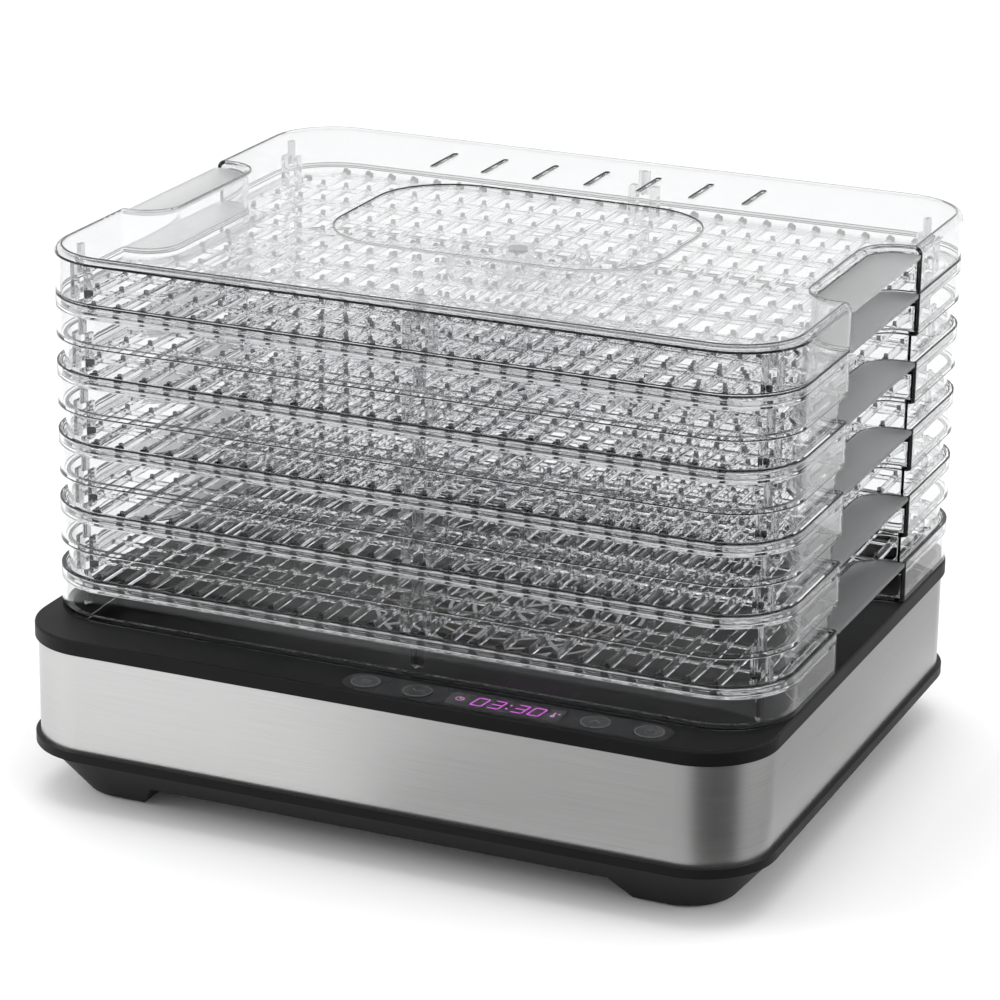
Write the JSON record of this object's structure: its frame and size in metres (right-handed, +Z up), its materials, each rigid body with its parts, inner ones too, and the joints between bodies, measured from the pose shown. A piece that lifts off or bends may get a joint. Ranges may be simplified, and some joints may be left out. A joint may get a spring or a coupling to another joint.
{
  "type": "food dehydrator",
  "caption": "Rectangular food dehydrator: steel-banded heated fan base with a touch panel, clear stacking trays with finger grips and grid floors, and a clear vented lid.",
  "frame": {"origin": "on the table, under the centre of the base housing", "axes": "+Z up, +X to the right and -Y to the front for someone facing the controls"},
  "size_m": [0.3464, 0.293, 0.245],
  "materials": {
    "housing": "matte",
    "pads": "matte",
    "steel": "brushed",
    "panel": "gloss",
    "lens": "gloss",
    "display": "matte",
    "board": "matte",
    "duct": "matte",
    "zinc": "satin",
    "mica": "matte",
    "coil": "satin",
    "clear": "gloss"
  },
  "bodies": {
    "base": {"base_pan": "housing", "foot_pads": "pads", "steel_band": "steel", "deck_cover": "housing", "control_panel": "panel", "display_lens": "lens", "display_module": "display", "tact_switches": "display", "control_board": "board", "air_duct": "duct", "motor_bracket": "zinc", "bracket_spacers": "zinc", "fan_motor": "zinc", "heater_frame": "mica", "heater_coil": "coil", "fan_guard": "zinc", "thermostat": "zinc", "thermal_fuse": "mica", "temperature_sensor": "coil", "power_board": "board", "board_standoffs": "duct", "power_components": "display", "cord_gland": "pads", "case_screws": "zinc"},
    "fan_rotor": {"motor_shaft": "zinc", "fan_impeller": "duct"},
    "tray_button_body": {"tray_button": "panel"},
    "down_button_body": {"down_button": "panel"},
    "up_button_body": {"up_button": "panel"},
    "power_button_body": {"power_button": "panel"},
    "tray_5": {"tray_5_frame": "clear", "tray_5_grid": "clear", "tray_5_hub": "clear"},
    "tray_4": {"tray_4_frame": "clear", "tray_4_grid": "clear", "tray_4_hub": "clear"},
    "tray_3": {"tray_3_frame": "clear", "tray_3_grid": "clear", "tray_3_hub": "clear"},
    "tray_2": {"tray_2_frame": "clear", "tray_2_grid": "clear", "tray_2_hub": "clear"},
    "tray_1": {"tray_1_frame": "clear", "tray_1_grid": "clear", "tray_1_hub": "clear"},
    "lid_body": {"lid": "clear"}
  },
  "joints": [
    {"name": "fan_spin", "type": "hinge", "parent": "base", "child": "fan_rotor", "pos_m": [0, 0.012, 0.04], "axis": [0, 0, 1], "continuous": true},
    {"name": "tray_button_press", "type": "slide", "parent": "base", "child": "tray_button_body", "axis": [0, 0, -1], "range_m": [0, 0.0008], "stiffness_N_per_m": 900, "springref_m": -0.0006},
    {"name": "down_button_press", "type": "slide", "parent": "base", "child": "down_button_body", "axis": [0, 0, -1], "range_m": [0, 0.0008], "stiffness_N_per_m": 900, "springref_m": -0.0006},
    {"name": "up_button_press", "type": "slide", "parent": "base", "child": "up_button_body", "axis": [0, 0, -1], "range_m": [0, 0.0008], "stiffness_N_per_m": 900, "springref_m": -0.0006},
    {"name": "power_button_press", "type": "slide", "parent": "base", "child": "power_button_body", "axis": [0, 0, -1], "range_m": [0, 0.0008], "stiffness_N_per_m": 900, "springref_m": -0.0006},
    {"name": "tray_5_lift", "type": "slide", "parent": "base", "child": "tray_5", "axis": [0, 0, 1], "range_m": [0, 0.06]},
    {"name": "tray_4_lift", "type": "slide", "parent": "tray_5", "child": "tray_4", "axis": [0, 0, 1], "range_m": [0, 0.06]},
    {"name": "tray_3_lift", "type": "slide", "parent": "tray_4", "child": "tray_3", "axis": [0, 0, 1], "range_m": [0, 0.06]},
    {"name": "tray_2_lift", "type": "slide", "parent": "tray_3", "child": "tray_2", "axis": [0, 0, 1], "range_m": [0, 0.06]},
    {"name": "tray_1_lift", "type": "slide", "parent": "tray_2", "child": "tray_1", "axis": [0, 0, 1], "range_m": [0, 0.06]},
    {"name": "lid_lift", "type": "slide", "parent": "tray_1", "child": "lid_body", "axis": [0, 0, 1], "range_m": [0, 0.06]}
  ]
}
